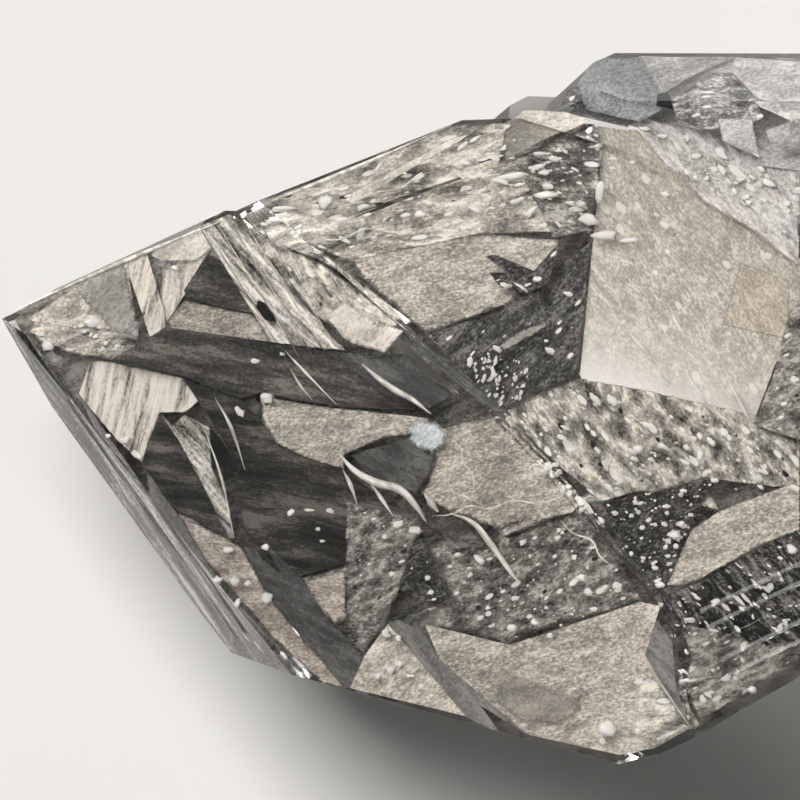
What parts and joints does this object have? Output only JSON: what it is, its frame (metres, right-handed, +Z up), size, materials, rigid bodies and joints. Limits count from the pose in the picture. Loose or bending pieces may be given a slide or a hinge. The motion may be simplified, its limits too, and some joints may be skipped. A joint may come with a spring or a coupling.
{
  "type": "herkimer diamond",
  "caption": "Clear doubly terminated quartz crystal lying on a flat face, with a smaller crystal grown on its back edge.",
  "frame": {"origin": "under the centre of the bounding box, on the flat face that the crystal rests on", "axes": "+X along the large crystal's long axis, from its left tip to its right tip; +Z up, out of the resting face; +Y towards the edge that carries the small crystal"},
  "size_m": [0.0478, 0.0338, 0.023],
  "materials": {
    "clear_quartz": "transparent colourless quartz with glossy faces, growth steps and white and smoky inclusions"
  },
  "bodies": {
    "root": {"crystal": "clear_quartz"}
  },
  "joints": []
}
